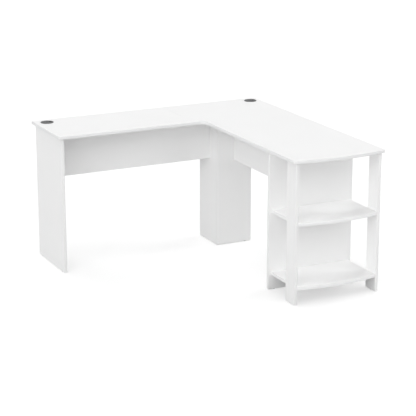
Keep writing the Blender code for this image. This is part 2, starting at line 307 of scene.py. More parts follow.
def rod(name, start, end, radius, sides=32):
    # a closed straight rod, used to cut bores and pockets
    start, end = Vector(start), Vector(end)
    turn = (end - start).to_track_quat("Z", "Y").to_matrix()
    bm = bmesh.new()
    rings = [[bm.verts.new(base + turn @ Vector((radius * cos(a), radius * sin(a), 0)))
              for a in (2 * pi * n / sides for n in range(sides))] for base in (start, end)]
    for n in range(sides):
        bm.faces.new((rings[0][n - 1], rings[0][n], rings[1][n], rings[1][n - 1]))
    bm.faces.new(rings[0])
    bm.faces.new(rings[1])
    return newObject(name, bm)


def lathe(name, profile, centre, sides=96):
    # turns a closed loop of (radius, height) points about a vertical axis through centre
    bm = bmesh.new()
    rings = [[bm.verts.new(centre + Vector((radius * cos(a), radius * sin(a), height)))
              for a in (2 * pi * n / sides for n in range(sides))] for radius, height in profile]
    for first, second in zip(rings, rings[1:] + rings[:1]):
        for n in range(sides):
            bm.faces.new((first[n - 1], first[n], second[n], second[n - 1]))
    return newObject(name, bm)


def prism(name, outline, low, high):
    bm = bmesh.new()
    rings = [[bm.verts.new((x, y, z)) for x, y in outline] for z in (low, high)]
    for n in range(len(outline)):
        bm.faces.new((rings[0][n - 1], rings[0][n], rings[1][n], rings[1][n - 1]))
    bm.faces.new(rings[0])
    bm.faces.new(rings[1])
    return newObject(name, bm)


def bevelled(piece, width, segments):
    step = piece.modifiers.new("easedEdges", "BEVEL")
    step.width, step.segments, step.limit_method, step.angle_limit = width, segments, "ANGLE", radians(50)
    step.use_clamp_overlap = True
    return settle(piece)


def arcPoints(centre, radius, fromAngle, toAngle, steps):
    angles = (radians(fromAngle + (toAngle - fromAngle) * n / steps) for n in range(steps + 1))
    return [(centre[0] + radius * cos(a), centre[1] + radius * sin(a)) for a in angles]


# boards: a flat outline with a glued edge band all round, its arrises eased

# tone sets how much of the edge band's painted shade a board gets: all of it on the tops, a tenth on the
# panels
edging = {
    "top": {"band": 0.0021, "radius": 0.0018, "cornerRadius": 0.0030, "steps": 6, "tone": 1.0},
    "panel": {"band": 0.0011, "radius": 0.0009, "cornerRadius": 0.0016, "steps": 4, "tone": 0.1},
    "glueGap": 0.00007,
    "glueDepth": 0.00006,
    "plainShare": 0.06,  # how much of the easing an unbanded edge gets
}


def easedCorner(before, corner, after, radius, steps=5):
    before, corner, after = Vector(before), Vector(corner), Vector(after)
    back, ahead = (before - corner).normalized(), (after - corner).normalized()
    half = back.angle(ahead) / 2
    centre = corner + (back + ahead).normalized() * radius / sin(half)
    start = corner + back * radius / tan(half) - centre
    end = corner + ahead * radius / tan(half) - centre
    turn = start.angle_signed(end)
    return [tuple(centre + Matrix.Rotation(-turn * n / steps, 2) @ start) for n in range(steps + 1)]


def insetOutline(outline, shares, distance):
    # each edge moves in by its own share of the distance; corners stay mitred
    count = len(outline)
    normals = []
    for n in range(count):
        along = (Vector(outline[(n + 1) % count]) - Vector(outline[n])).normalized()
        normals.append(Vector((-along.y, along.x)))
    moved = []
    for n in range(count):
        first, second = normals[n - 1], normals[n]
        here, there = shares[n - 1] * distance, shares[n] * distance
        cross = first.x * second.y - first.y * second.x
        if abs(cross) < 1e-3:
            step = (first + second).normalized() * max(here, there)
        else:
            step = Vector((here * second.y - there * first.y, there * first.x - here * second.x)) / cross
        moved.append(Vector(outline[n]) + step)
    return moved


def board(name, outline, shares, low, high, axis, edge):
    # axis is the way through the board; the outline runs anticlockwise in the other two, in cyclic order
    radius, band, steps = edge["radius"], edge["band"], edge["steps"]
    gap, depth = edging["glueGap"], edging["glueDepth"]
    half = [(band + gap, 0, 0, 0), (band, depth, 0.5, 1), (band - gap, 0, 1, 0), (radius, 0, 1, 0)]
    for n in range(1, steps + 1):
        a = pi / 2 * n / steps
        half.append((radius * (1 - sin(a)), radius * (1 - cos(a)), 1, 0))
    rings = [(inset, low + rise, b, g) for inset, rise, b, g in half]
    rings += [(inset, high - rise, b, g) for inset, rise, b, g in reversed(half)]
    bm = bmesh.new()
    bandAndShadeLayer = bm.verts.layers.float.new("edgeBand")
    glueLayer = bm.verts.layers.float.new("glueLine")
    loops = []
    for inset, level, bandHere, glueHere in rings:
        loop = []
        for point in insetOutline(outline, shares, inset):
            place = Vector((0, 0, 0))
            place[(axis + 1) % 3], place[(axis + 2) % 3], place[axis] = point.x, point.y, level
            vert = bm.verts.new(place)
            # the band's mark is scaled by the board's tone, which sets how much painted shade its edge band
            # gets
            vert[bandAndShadeLayer], vert[glueLayer] = bandHere * edge["tone"], glueHere
            loop.append(vert)
        loops.append(loop)
    for first, second in zip(loops, loops[1:]):
        for n in range(len(outline)):
            bm.faces.new((first[n - 1], first[n], second[n], second[n - 1]))
    bm.faces.new(loops[0])
    bm.faces.new(loops[-1])
    piece = newObject(name, bm)
    shade(piece.data)
    return piece


def slabOutline(node, axis, plain, radius):
    # a board's rectangle with eased corners; plain names the sides with no edge band, such as "+z"
    low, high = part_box(node)
    u, v = (axis + 1) % 3, (axis + 2) % 3
    letters = "xyz"
    corners = [(low[u], low[v]), (high[u], low[v]), (high[u], high[v]), (low[u], high[v])]
    sides = ["-" + letters[v], "+" + letters[u], "+" + letters[v], "-" + letters[u]]
    outline, shares = [], []
    for n, corner in enumerate(corners):
        into, out = sides[n - 1] in plain, sides[n] in plain
        following = corners[(n + 1) % 4]
        points = [corner] if into or out else easedCorner(corners[n - 1], corner, following, radius)
        outline += points
        shares += [1.0] * (len(points) - 1) + [edging["plainShare"] if out else 1.0]
    return outline, shares


def bowedEdge(left, right, chord, bow, cornerRadius, steps=56):
    # the outward curve of a front edge, from left to right, with its two ends eased
    half = (right - left) / 2
    sweep = (half * half + bow * bow) / (2 * bow)
    centre = Vector((left + half, chord - bow + sweep))
    reach = atan2(half, sweep - bow)
    angles = (reach * (2 * n / steps - 1) for n in range(steps + 1))
    curve = [centre + sweep * Vector((sin(a), -cos(a))) for a in angles]
    start = easedCorner((left, chord + 1), (left, chord), curve[1], cornerRadius)
    end = easedCorner(curve[-2], (right, chord), (right, chord + 1), cornerRadius)
    margin = 1.3 * cornerRadius  # the curve's own points stay clear of its eased ends
    keep = [tuple(p) for p in curve if left + margin < p.x < right - margin]
    return start + keep + end


glide = {"radius": 0.0070, "height": 0.0025, "nailRadius": 0.0012, "nailLength": 0.0120}

fittingNodes = [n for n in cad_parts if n.startswith("cam_") or n.startswith("glide_")]
clearance = 0.0003
cutReach = 0.05  # how far a cutter runs past the face it cuts


def boxesMeet(first, second):
    return all(first[0][k] < second[1][k] and second[0][k] < first[1][k] for k in range(3))


def boardBores(node):
    # the pockets and bores that this board's fittings sit in
    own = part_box(node)
    cutters = []
    for fitting in fittingNodes:
        low, high = (Vector(corner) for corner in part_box(fitting))
        if not boxesMeet(own, (low, high)):
            continue
        size, middle = high - low, (low + high) / 2
        if fitting.startswith("cam_lock"):
            through = min(range(3), key=lambda k: size[k])
            way = Vector((0, 0, 0))
            way[through] = 1 if abs(high[through] - own[1][through]) < clearance else -1
            depth, radius = size[through], max(size) / 2
            start, end = middle + way * depth, middle - way * (depth / 2 + clearance)
        elif fitting.startswith("cam_bolt"):
            along = max(range(3), key=lambda k: size[k])
            way = Vector((0, 0, 0))
            way[along] = size[along] / 2 + clearance
            start, end, radius = middle - way, middle + way, min(size) / 2
        else:
            start = Vector((middle.x, middle.y, -cutReach))
            end, radius = Vector((middle.x, middle.y, high.z + clearance)), glide["nailRadius"]
        cutters.append(rod("bore_" + fitting, start, end, radius + clearance))
    return cutters


topShape = {"bow": 0.027, "innerFillet": 0.036, "frontCorner": 0.012, "grommetBore": 0.026,
            "wingWidth": 0.500}
shelfShape = {"bow": 0.026, "frontCorner": 0.0016}

flatBoards = {
    "leftEndPanel": {"node": "left_end_panel", "axis": 0, "plain": ("+z",)},
    "leftModestyPanel": {"node": "left_modesty_panel", "axis": 1, "plain": ("+z", "-x", "+x")},
    "legFrontPanel": {"node": "leg_front_panel", "axis": 1, "plain": ("+z",)},
    "legSidePanel": {"node": "leg_side_panel", "axis": 0, "plain": ("+z", "-y")},
    "rightModestyPanel": {"node": "right_modesty_panel", "axis": 0, "plain": ("+z", "-y", "+y")},
    "shelfBackPanel": {"node": "shelf_back_panel", "axis": 1, "plain": ("+z",)},
    "frontLeftPost": {"node": "front_left_post", "axis": 0, "plain": ("+z",)},
    "frontRightPost": {"node": "front_right_post", "axis": 0, "plain": ("+z",)},
}


def makeBoard(name, node, outline, shares, axis, edge, extraCutters=()):
    low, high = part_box(node)
    piece = board(name, outline, shares, low[axis], high[axis], axis, edge)
    cutters = boardBores(node) + list(extraCutters)
    if cutters:
        combine(piece, cutters, "DIFFERENCE")
    return finish(piece, "whiteLaminate", "root", [node])


for name, facts in flatBoards.items():
    edge = edging["panel"]
    outline, shares = slabOutline(facts["node"], facts["axis"], facts["plain"], edge["cornerRadius"])
    makeBoard(name, facts["node"], outline, shares, facts["axis"], edge)

for name, node in (("lowerShelf", "lower_shelf"), ("upperShelf", "upper_shelf")):
    low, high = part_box(node)
    bow = shelfShape["bow"]
    front = bowedEdge(low[0], high[0], low[1] + bow, bow, shelfShape["frontCorner"])
    outline = [(high[0], high[1]), (low[0], high[1])] + front
    # the back and the two ends meet other boards, so only the bowed front is banded
    shares = [edging["plainShare"]] * 2 + [1.0] * (len(front) - 1) + [edging["plainShare"]]
    makeBoard(name, node, outline, shares, 2, edging["panel"])

grommets = {}
for side in ("left", "corner"):
    low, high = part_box(side + "_grommet_sleeve")
    grommets[side] = Vector(((low[0] + high[0]) / 2, (low[1] + high[1]) / 2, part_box("top_left_wing")[1][2]))


def grommetBore(side):
    place, reach = grommets[side], Vector((0, 0, cutReach))
    return rod("bore_" + side, place - reach, place + reach, topShape["grommetBore"], 96)


outline, shares = slabOutline("top_left_wing", 2, ("+x",), edging["top"]["cornerRadius"])
makeBoard("leftWingTop", "top_left_wing", outline, shares, 2, edging["top"], [grommetBore("left")])

low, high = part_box("top_right_wing")
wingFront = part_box("top_left_wing")[0][1]
innerEdge = high[0] - topShape["wingWidth"]
fillet = topShape["innerFillet"]
chord = low[1] + topShape["bow"]
outline = easedCorner((high[0], 0), (high[0], high[1]), (low[0], high[1]), edging["top"]["cornerRadius"])
seamEdge = len(outline)  # the edge that meets the left wing has no band
outline += [(low[0], high[1]), (low[0], wingFront)]
outline += arcPoints((innerEdge - fillet, wingFront - fillet), fillet, 90, 0, 20)
outline += bowedEdge(innerEdge, high[0], chord, topShape["bow"], topShape["frontCorner"])
shares = [1.0] * len(outline)
shares[seamEdge] = edging["plainShare"]
makeBoard("rightWingTop", "top_right_wing", outline, shares, 2, edging["top"], [grommetBore("corner")])
print("boards made")


# cable grommets: a sleeve in the top, a lift-out cap with a cable slot, and a door that turns under it

grommetShape = {
    "gap": 0.0003, "flangeRadius": 0.0330, "flangeHeight": 0.0030, "seatRadius": 0.0283, "seatTop": 0.0013,
    "tubeOuter": 0.0257, "tubeInner": 0.0235, "tubeFoot": -0.0220, "capRadius": 0.0280, "capBottom": 0.0016,
    "capTop": 0.0031, "skirtOuter": 0.0232, "skirtInner": 0.0210, "skirtFoot": -0.0080, "hubHole": 0.0043,
    "slotCentre": 0.0180, "slotRadius": 0.0080, "doorTop": 0.0013, "doorThickness": 0.0011,
    "doorReach": 0.0207, "doorHalfWidth": 0.0095, "hubRadius": 0.0040, "knobRadius": 0.0070,
    "knobHeight": 0.0014, "knobRidges": 20, "ridgeDepth": 0.0003, "rimEase": 0.00126, "seatEase": 0.0005,
    "capEase": 0.0006, "footEase": 0.0005, "fineEase": 0.0002, "seatSlope": 0.0004, "stepOuter": 0.0105,
    "stepInner": 0.0079, "stepSlope": 0.0004, "stepDepth": 0.0003, "capBevel": 0.0003, "doorBevel": 0.00015,
}


def knob(side, place, foot, low, high):
    # the turning knob: a hub, a ridged rim and a dished top
    g = grommetShape
    ridges, perRidge = g["knobRidges"], 6
    sides = ridges * perRidge
    hub, rim = g["hubRadius"], g["knobRadius"]
    ease, dish = 0.0003, 0.0004  # the rim's easing, and how far the knob's middle is dished
    # radius, height and how strongly the ridges show
    profile = [(hub, foot, 0), (hub, low, 0), (rim, low, 1), (rim, high - ease, 1)]
    profile += [(rim - ease, high, 0.4), (rim * 0.72, high, 0), (rim * 0.62, high - dish, 0)]
    bm = bmesh.new()
    rings = []
    for radius, height, ridged in profile:
        ring = []
        for n in range(sides):
            a = 2 * pi * n / sides
            r = radius - ridged * g["ridgeDepth"] * (0.5 - 0.5 * cos(a * ridges))
            ring.append(bm.verts.new(place + Vector((r * cos(a), r * sin(a), height))))
        rings.append(ring)
    for first, second in zip(rings, rings[1:]):
        for n in range(sides):
            bm.faces.new((first[n - 1], first[n], second[n], second[n - 1]))
    bm.faces.new(rings[0])
    bm.faces.new(rings[-1])
    return newObject(side + "Knob", bm)


def markPaintedShade(piece, centre, reach, level):
    # marks what lies within reach of the axis and below a level, where painted shade goes
    marks = piece.data.attributes.new("recess", "FLOAT", "POINT").data
    for vertex, mark in zip(piece.data.vertices, marks):
        offset = vertex.co - centre
        mark.value = 1.0 if offset.xy.length < reach and offset.z < level else 0.0


def grommet(side):
    g, place = grommetShape, grommets[side]
    foot, fine, rim, seat = g["footEase"], g["fineEase"], g["rimEase"], g["seatEase"]
    sleeve = [(g["tubeOuter"], g["tubeFoot"] + foot), (g["tubeOuter"], g["gap"])]
    sleeve += [(g["flangeRadius"] - fine, g["gap"]), (g["flangeRadius"], g["gap"] + fine)]
    sleeve += arcPoints((g["flangeRadius"] - rim, g["flangeHeight"] - rim), rim, 0, 90, 7)
    sleeve += arcPoints((g["seatRadius"] + seat, g["flangeHeight"] - seat), seat, 90, 180, 4)
    sleeve += [(g["seatRadius"], g["seatTop"]), (g["tubeInner"] + g["seatSlope"], g["seatTop"])]
    sleeve += [(g["tubeInner"], g["seatTop"] - g["seatSlope"]), (g["tubeInner"], g["tubeFoot"] + foot)]
    sleeve += [(g["tubeInner"] + foot, g["tubeFoot"]), (g["tubeOuter"] - foot, g["tubeFoot"])]
    piece = lathe(side + "GrommetSleeve", sleeve, place)
    # the seat and bore are marked for painted shade, not the rim
    markPaintedShade(piece, place, g["seatRadius"] + 0.0002, g["seatTop"] + 0.0008)
    shade(piece.data)
    finish(piece, "blackPlastic", "root", [side + "_grommet_sleeve"])

    low, high, ease, slope = g["capBottom"], g["capTop"], g["capEase"], g["stepSlope"]
    cap = [(g["hubHole"], low), (g["skirtInner"], low), (g["skirtInner"], g["skirtFoot"] + foot)]
    cap += [(g["skirtInner"] + foot, g["skirtFoot"]), (g["skirtOuter"] - foot, g["skirtFoot"])]
    cap += [(g["skirtOuter"], g["skirtFoot"] + foot), (g["skirtOuter"], low), (g["capRadius"] - fine, low)]
    cap += [(g["capRadius"], low + fine)] + arcPoints((g["capRadius"] - ease, high - ease), ease, 0, 90, 5)
    # a shallow step rings the knob
    cap += [(g["stepOuter"], high), (g["stepOuter"] - slope, high - g["stepDepth"])]
    cap += [(g["stepInner"] + slope, high - g["stepDepth"]), (g["stepInner"], high)]
    cap += [(g["hubHole"] + fine, high), (g["hubHole"], high - fine)]
    piece = lathe(side + "GrommetCap", cap, place)
    slot = arcPoints((g["slotCentre"], 0), g["slotRadius"], 90, 270, 24)
    slot += [(cutReach, -g["slotRadius"]), (cutReach, g["slotRadius"])]
    slot = [(place.x + x, place.y + y) for x, y in slot]
    cutter = prism("slot", slot, place.z - cutReach, place.z + cutReach)
    combine(piece, [cutter], "DIFFERENCE")
    bevelled(piece, g["capBevel"], 3)
    # what lies below the cap's face is marked for painted shade
    markPaintedShade(piece, place, g["capRadius"] - 0.0004, g["capTop"] - 0.0004)
    finish(piece, "blackPlastic", side + "_cap", [side + "_grommet_cap"])

    reach, width = g["doorReach"], g["doorHalfWidth"]
    spread = degrees(atan2(width, sqrt(reach * reach - width * width)))
    tongue = arcPoints((0, 0), reach, 90 - spread, 90 + spread, 16) + arcPoints((0, 0), width, 180, 360, 32)
    outline = [(place.x + x, place.y + y) for x, y in tongue]
    top = place.z + g["doorTop"]
    door = prism(side + "GrommetDoor", outline, top - g["doorThickness"], top)
    hubFoot, knobLow = g["doorTop"] - g["doorThickness"] / 2, g["capTop"] + g["gap"]
    knobTop = knobLow + g["knobHeight"]
    hub = knob(side, place, hubFoot, knobLow, knobTop)
    combine(door, [hub], "UNION")
    bevelled(door, g["doorBevel"], 2)
    finish(door, "blackPlastic", side + "_door", [side + "_grommet_door"])


for side in grommets:
    grommet(side)
print("grommets made")


# fittings that repeat, each family from one Geometry Nodes tree

def geometryTree(name, sizes):
    # a tree with named size inputs; returns the graph, the wires of its inputs and their identifiers
    tree = bpy.data.node_groups.new(name, "GeometryNodeTree")
    tree.interface.new_socket(name="Geometry", in_out="INPUT", socket_type="NodeSocketGeometry")
    identifiers = {}
    for label in sizes:
        socket = tree.interface.new_socket(name=label, in_out="INPUT", socket_type="NodeSocketFloat")
        identifiers[label] = socket.identifier
    socket = tree.interface.new_socket(name="material", in_out="INPUT", socket_type="NodeSocketMaterial")
    identifiers["material"] = socket.identifier
    tree.interface.new_socket(name="Geometry", in_out="OUTPUT", socket_type="NodeSocketGeometry")
    graph = Graph(tree)
    source = tree.nodes.new("NodeGroupInput")
    wires = {out.name: Wire(graph, out) for out in source.outputs if out.name}
    return graph, wires, identifiers


def standOnSpots(graph, wires, master):
    # the master stands on every point, its +Z along "facing" and its +X along "pointing"
    facing, pointing = (graph.node("GeometryNodeInputNamedAttribute", {"data_type": "FLOAT_VECTOR"},
                                   {"Name": label}) for label in ("facing", "pointing"))
    turn = graph.node("FunctionNodeAxesToRotation", {"primary_axis": "Z", "secondary_axis": "X"},
                      {"Primary Axis": facing, "Secondary Axis": pointing})
    copies = graph.node("GeometryNodeInstanceOnPoints", {},
                        {"Points": wires["Geometry"], "Instance": master, "Rotation": turn})
    real = graph.node("GeometryNodeRealizeInstances", {}, {"Geometry": copies})
    dressed = graph.node("GeometryNodeSetMaterial", {}, {"Geometry": real, "Material": wires["material"]})
    graph.node("NodeGroupOutput", {}, {"Geometry": dressed})


def populate(name, spots, tree, sizes, finishName, nodes):
    # spots are (position, facing, pointing); the result is one plain mesh
    graph, identifiers = tree
    mesh = bpy.data.meshes.new(name + "Spots")
    mesh.from_pydata([spot[0] for spot in spots], [], [])
    for index, label in ((1, "facing"), (2, "pointing")):
        data = mesh.attributes.new(label, "FLOAT_VECTOR", "POINT").data
        for n, spot in enumerate(spots):
            data[n].vector = spot[index]
    piece = bpy.data.objects.new(name, mesh)
    bpy.context.scene.collection.objects.link(piece)
    step = piece.modifiers.new("fittings", "NODES")
    step.node_group = graph.tree
    for label, value in sizes.items():
        step[identifiers[label]] = value
    step[identifiers["material"]] = finishes[finishName][0]
    settle(piece, 35)
    return finish(piece, finishName, "root", nodes)


overlap = 0.0002  # how far two parts of one fitting run into each other before they are joined


def roundBar(graph, sides, rings, caps, radius, depth, fill="NGON"):
    values = {"Vertices": sides, "Side Segments": rings, "Fill Segments": caps, "Radius": radius,
              "Depth": depth}
    return graph.node("GeometryNodeMeshCylinder", {"fill_type": fill}, values)


def vector(graph, x, y, z):
    return graph.node("ShaderNodeCombineXYZ", {}, {0: x, 1: y, 2: z})


def moved(graph, geometry, at, turn=(0, 0, 0)):
    values = {"Geometry": geometry, "Translation": at, "Rotation": turn}
    return graph.node("GeometryNodeTransform", {}, values)


def crossRecess(graph, size, depth, level):
    # the two bars of a cross-head recess
    at = vector(graph, 0, 0, level)
    sides = ((size["crossLength"], size["crossWidth"]), (size["crossWidth"], size["crossLength"]))
    return [moved(graph, graph.node("GeometryNodeMeshCube", {}, {"Size": vector(graph, x, y, depth)}), at)
            for x, y in sides]


def joined(graph, *parts):
    return graph.node("GeometryNodeMeshBoolean", {"operation": "UNION", "solver": "EXACT"},
                      {"Mesh 2": list(parts)})


def reshape(graph, geometry, newPosition):
    # newPosition(x, y, z, radius) gives the wires of each point's new place
    at = graph.node("GeometryNodeInputPosition")
    split = graph.tree.nodes.new("ShaderNodeSeparateXYZ")
    graph.tree.links.new(at.socket, split.inputs[0])
    x, y, z = (Wire(graph, out) for out in split.outputs)
    radius = (x * x + y * y).maths("SQRT")
    place = vector(graph, *newPosition(x, y, z, radius))
    return graph.node("GeometryNodeSetPosition", {}, {"Geometry": geometry, "Position": place})


def carve(graph, body, *tools):
    return graph.node("GeometryNodeMeshBoolean", {"operation": "DIFFERENCE", "solver": "EXACT"},
                      {"Mesh 1": body, "Mesh 2": list(tools)})


camLock = {"radius": 0.0075, "depth": 0.0122, "chamfer": 0.0005, "crossLength": 0.0086, "crossWidth": 0.0015,
           "crossDepth": 0.0032, "boreRadius": 0.0040, "arrowSize": 0.0020}


def camLockTree():
    # the lock's face is at z = 0 and its body goes down; its bolt comes from +X
    graph, size, identifiers = geometryTree("camLockTree", camLock)
    bar = roundBar(graph, 40, 24, 1, size["radius"], size["depth"])

    def chamfered(x, y, z, r):
        fromEnd = size["depth"] / 2 - z.maths("ABSOLUTE")
        pull = 1 - (fromEnd < size["chamfer"] * 0.5) * size["chamfer"] / size["radius"]
        return x * pull, y * pull, z - size["depth"] / 2

    body = reshape(graph, bar, chamfered)
    cross = crossRecess(graph, size, size["crossDepth"] * 1.2, size["crossDepth"] * -0.5)
    # a small arrow by the rim points to the bolt
    arrowReach = size["arrowSize"] * 0.6
    arrow = graph.node("GeometryNodeMeshCone", {"fill_type": "NGON"},
                       {"Vertices": 3, "Radius Top": 0.0, "Radius Bottom": arrowReach, "Depth": arrowReach})
    arrow = moved(graph, arrow, vector(graph, size["radius"] * 0.78, 0, size["arrowSize"] * 0.2), (pi, 0, 0))
    boreLevel = size["depth"] * -0.656  # the bolt's axis is at the middle of the board
    bore = roundBar(graph, 24, 1, 1, size["boreRadius"], size["radius"] * 2)
    bore = moved(graph, bore, vector(graph, size["radius"], 0, boreLevel), (0, pi / 2, 0))
    standOnSpots(graph, size, carve(graph, body, *cross, arrow, bore))
    return graph, identifiers


camBolt = {"threadRadius": 0.0025, "threadLength": 0.0110, "threadPitch": 0.0016, "threadDepth": 0.0004,
           "shankRadius": 0.0030, "neckRadius": 0.0020, "headRadius": 0.0033, "headLength": 0.0030,
           "headEnd": 0.0264}


def camBoltTree():
    # z = 0 is where the thread meets the shank; the head is at the top
    graph, size, identifiers = geometryTree("camBoltTree", camBolt)
    full = size["threadLength"] + size["headEnd"]
    bar = roundBar(graph, 24, 96, 1, 1.0, full)
    thinnest = 0.0008  # keeps the bolt closed where two stretches meet

    def turnedBolt(x, y, z, r):
        level = z + full / 2 - size["threadLength"]
        headStart = size["headEnd"] - size["headLength"]
        neckStart = headStart - size["headLength"]
        angle = y.maths("ARCTAN2", x)
        wave = (angle + level / size["threadPitch"] * 2 * pi).maths("SINE")
        ridge = wave * size["threadDepth"] * 0.5 - size["threadDepth"] * 0.5
        thread = (level < 0) * (size["threadRadius"] + ridge)
        shank = (level > 0) * (level < neckStart) * size["shankRadius"]
        neck = (level > neckStart) * (level < headStart) * size["neckRadius"]
        head = (level > headStart) * size["headRadius"]
        radius = (thread + shank + neck + head).maths("MAXIMUM", thinnest)
        return x * radius, y * radius, level

    standOnSpots(graph, size, reshape(graph, bar, turnedBolt))
    return graph, identifiers


screw = {"headRadius": 0.0036, "headHeight": 0.0012, "dome": 0.0009, "crossLength": 0.0040,
         "crossWidth": 0.0009, "crossDepth": 0.0014, "shankRadius": 0.0014, "shankLength": 0.0125}


def screwTree():
    # a pan-head screw: z = 0 is under its head
    graph, size, identifiers = geometryTree("screwTree", screw)
    head = roundBar(graph, 28, 2, 5, size["headRadius"], size["headHeight"], "TRIANGLE_FAN")

    def domed(x, y, z, r):
        share = r / size["headRadius"]
        lift = (z > 0) * size["dome"] * (1 - share * share)
        return x, y, z + size["headHeight"] / 2 + lift

    head = reshape(graph, head, domed)
    topDepth = size["headHeight"] + size["dome"]
    head = carve(graph, head, *crossRecess(graph, size, size["crossDepth"], topDepth))
    bar = roundBar(graph, 16, 1, 1, size["shankRadius"], size["shankLength"])
    bar = moved(graph, bar, vector(graph, 0, 0, size["shankLength"] * -0.5 + overlap))
    standOnSpots(graph, size, joined(graph, head, bar))
    return graph, identifiers


def glideTree():
    # a nail-on glide: a cushioned pad that stands on z = 0, with its nail going up
    graph, size, identifiers = geometryTree("glideTree", glide)
    pad = roundBar(graph, 40, 8, 3, size["radius"], size["height"])

    def cushioned(x, y, z, r):
        low = 1 - (z / size["height"] + 0.5)
        pull = 1 - 0.16 * low ** 3 - 0.05 * (1 - low) ** 4  # tucked in at the foot, a little at the top
        return x * pull, y * pull, z + size["height"] / 2

    pad = reshape(graph, pad, cushioned)
    nail = roundBar(graph, 16, 1, 1, size["nailRadius"], size["nailLength"] + 2 * overlap)
    nail = moved(graph, nail, vector(graph, 0, 0, size["height"] + size["nailLength"] / 2 - overlap))
    standOnSpots(graph, size, joined(graph, pad, nail))
    return graph, identifiers


boardNodes = [facts["node"] for facts in flatBoards.values()] + ["lower_shelf", "upper_shelf"]
lockSpots, boltSpots, lockNodes, boltNodes = [], [], [], []
for node in sorted(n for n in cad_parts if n.startswith("cam_lock_")):
    boltNode = node.replace("cam_lock_", "cam_bolt_")
    low, high = (Vector(corner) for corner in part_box(node))
    boltLow, boltHigh = (Vector(corner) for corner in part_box(boltNode))
    middle, size, boltSize = (low + high) / 2, high - low, boltHigh - boltLow
    through = min(range(3), key=lambda k: size[k])
    along = max(range(3), key=lambda k: boltSize[k])
    host = next(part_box(n) for n in boardNodes if boxesMeet(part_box(n), (low, high)))
    facing = Vector((0, 0, 0))
    facing[through] = 1 if abs(high[through] - host[1][through]) < clearance else -1
    toBolt = Vector((0, 0, 0))
    toBolt[along] = 1 if ((boltLow + boltHigh) / 2)[along] > middle[along] else -1
    lockSpots.append((middle + facing * size[through] / 2, facing, toBolt))
    headTip = boltLow if toBolt[along] > 0 else boltHigh
    start = (boltLow + boltHigh) / 2
    start[along] = headTip[along] + toBolt[along] * camBolt["headEnd"]
    boltSpots.append((start, -toBolt, facing))
    lockNodes.append(node)
    boltNodes.append(boltNode)

populate("camLocks", lockSpots, camLockTree(), camLock, "zincCasting", lockNodes)
populate("camBolts", boltSpots, camBoltTree(), camBolt, "platedSteel", boltNodes)

glideNodes = sorted(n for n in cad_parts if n.startswith("glide_"))
glideSpots = []
for node in glideNodes:
    low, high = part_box(node)
    foot = Vector(((low[0] + high[0]) / 2, (low[1] + high[1]) / 2, 0))
    glideSpots.append((foot, Vector((0, 0, 1)), Vector((1, 0, 0))))
populate("floorGlides", glideSpots, glideTree(), glide, "greyPlastic", glideNodes)
print("cam locks, bolts and glides made:", len(lockSpots), len(boltSpots), len(glideSpots))


# steelwork under the top: bent angle brackets and flat seam plates, and their screws

steelwork = {"thickness": 0.0020, "bendRadius": 0.0030, "cornerRadius": 0.0040, "screwRows": (0.010, 0.022),
             "screwStagger": 0.0035, "plateScrews": (0.012, 0.030), "edgeEase": 0.00025}


def bracket(name, node):
    low, high = (Vector(corner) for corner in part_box(node))
    hostLow, hostHigh = (Vector(corner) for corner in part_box(steelHosts[node]))
    # the bracket stands off its board along away, and its width runs along the board
    size = high - low
    width = min(range(2), key=lambda k: size[k])
    depth = 1 - width
    sign = 1 if (low + high)[depth] > (hostLow + hostHigh)[depth] else -1
    away, along = Vector((0, 0, 0)), Vector((0, 0, 0))
    away[depth], along[width] = sign, 1
    corner = Vector((0, 0, high.z))
    corner[depth] = low[depth] if sign > 0 else high[depth]
    corner[width] = (low[width] + high[width]) / 2
    leg, half, t, bend = size.z, size[width] / 2, steelwork["thickness"], steelwork["bendRadius"]
    outer = arcPoints((bend, -bend), bend, 180, 90, 8)
    inner = arcPoints((bend, -bend), bend - t, 90, 180, 8)
    profile = [(0, -leg)] + outer + [(leg, 0), (leg, -t)] + inner + [(t, -leg)]
    bm = bmesh.new()
    rings = [[bm.verts.new(corner + away * x + Vector((0, 0, y)) + along * side) for x, y in profile]
             for side in (-half, half)]
    for n in range(len(profile)):
        bm.faces.new((rings[0][n - 1], rings[0][n], rings[1][n], rings[1][n - 1]))
    bm.faces.new(rings[0])
    bm.faces.new(rings[1])
    bmesh.ops.recalc_face_normals(bm, faces=bm.faces)
    # the short edges through the sheet at the two free ends are the ones to round
    near = 1e-5
    ends = []
    for edge in bm.edges:
        first, second = (v.co - corner for v in edge.verts)
        atFoot = all(abs(p.z + leg) < near for p in (first, second))
        atTip = all(abs(p.dot(away) - leg) < near for p in (first, second))
        sameSide = abs(first.dot(along) - second.dot(along)) < near
        if sameSide and (atFoot or atTip) and edge.calc_length() < t * 1.2:
            ends.append(edge)
    bmesh.ops.bevel(bm, geom=ends, offset=steelwork["cornerRadius"], segments=6, profile=0.5, affect="EDGES")
    piece = newObject(name, bm)
    bevelled(piece, steelwork["edgeEase"], 2)
    finish(piece, "platedSteel", "root", [node])
    spots = []
    for n, row in enumerate(steelwork["screwRows"]):
        shift = along * steelwork["screwStagger"] * (1 if n else -1)
        spots.append((corner + away * t + Vector((0, 0, -row)) + shift, away, Vector((0, 0, 1))))
        spots.append((corner + away * row - Vector((0, 0, t)) - shift, Vector((0, 0, -1)), away))
    return spots


def seamPlate(name, node):
    low, high = (Vector(corner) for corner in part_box(node))
    corners = [(low.x, low.y), (high.x, low.y), (high.x, high.y), (low.x, high.y)]
    outline = []
    for n in range(4):
        outline += easedCorner(corners[n - 1], corners[n], corners[(n + 1) % 4], steelwork["cornerRadius"], 7)
    piece = prism(name, outline, low.z, high.z)
    bevelled(piece, steelwork["edgeEase"], 2)
    finish(piece, "platedSteel", "root", [node])
    middle = (low + high) / 2
    down = Vector((0, 0, -1))
    return [(Vector((middle.x + side * reach, middle.y, low.z)), down, Vector((1, 0.3 * side, 0)))
            for side in (-1, 1) for reach in steelwork["plateScrews"]]


